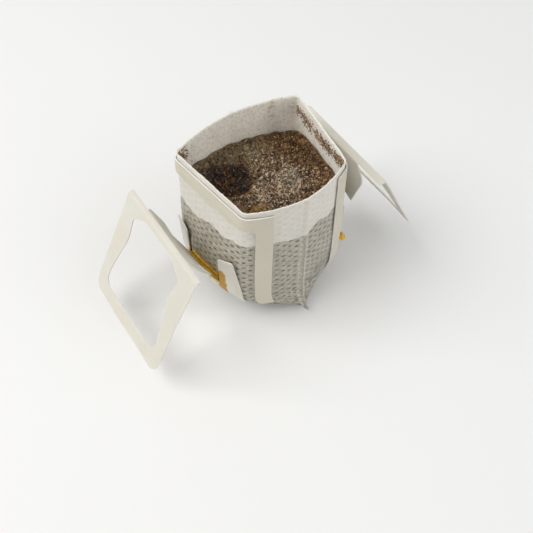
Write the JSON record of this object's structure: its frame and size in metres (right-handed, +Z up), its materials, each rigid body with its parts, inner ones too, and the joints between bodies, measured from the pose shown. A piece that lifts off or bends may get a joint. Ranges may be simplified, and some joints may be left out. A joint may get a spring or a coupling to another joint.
{
  "type": "drip coffee bag",
  "caption": "Opened single-cup drip coffee bag: filter pouch with wet grounds, glued card hanger frames and two fold-out hook ears for a cup rim.",
  "frame": {"origin": "on the pouch's upright middle line, at the level of the cup rim that the two ears rest on", "axes": "+Z up out of the mouth, X across the two faces that carry the ears, +X towards the ear nearer the pouch, -Y towards the seam that the picture shows"},
  "size_m": [0.1234, 0.0615, 0.0673],
  "materials": {
    "filter_paper": "soft embossed filter web, wet and grey below the water line",
    "card": "smooth uncoated food card",
    "wet_grounds": "wet coarse grounds"
  },
  "bodies": {
    "root": {"filter_bag": "filter_paper", "coffee_grounds": "wet_grounds", "hanger_frame_left": "card", "hanger_frame_right": "card", "ear_left": "card", "ear_right": "card"}
  },
  "joints": []
}
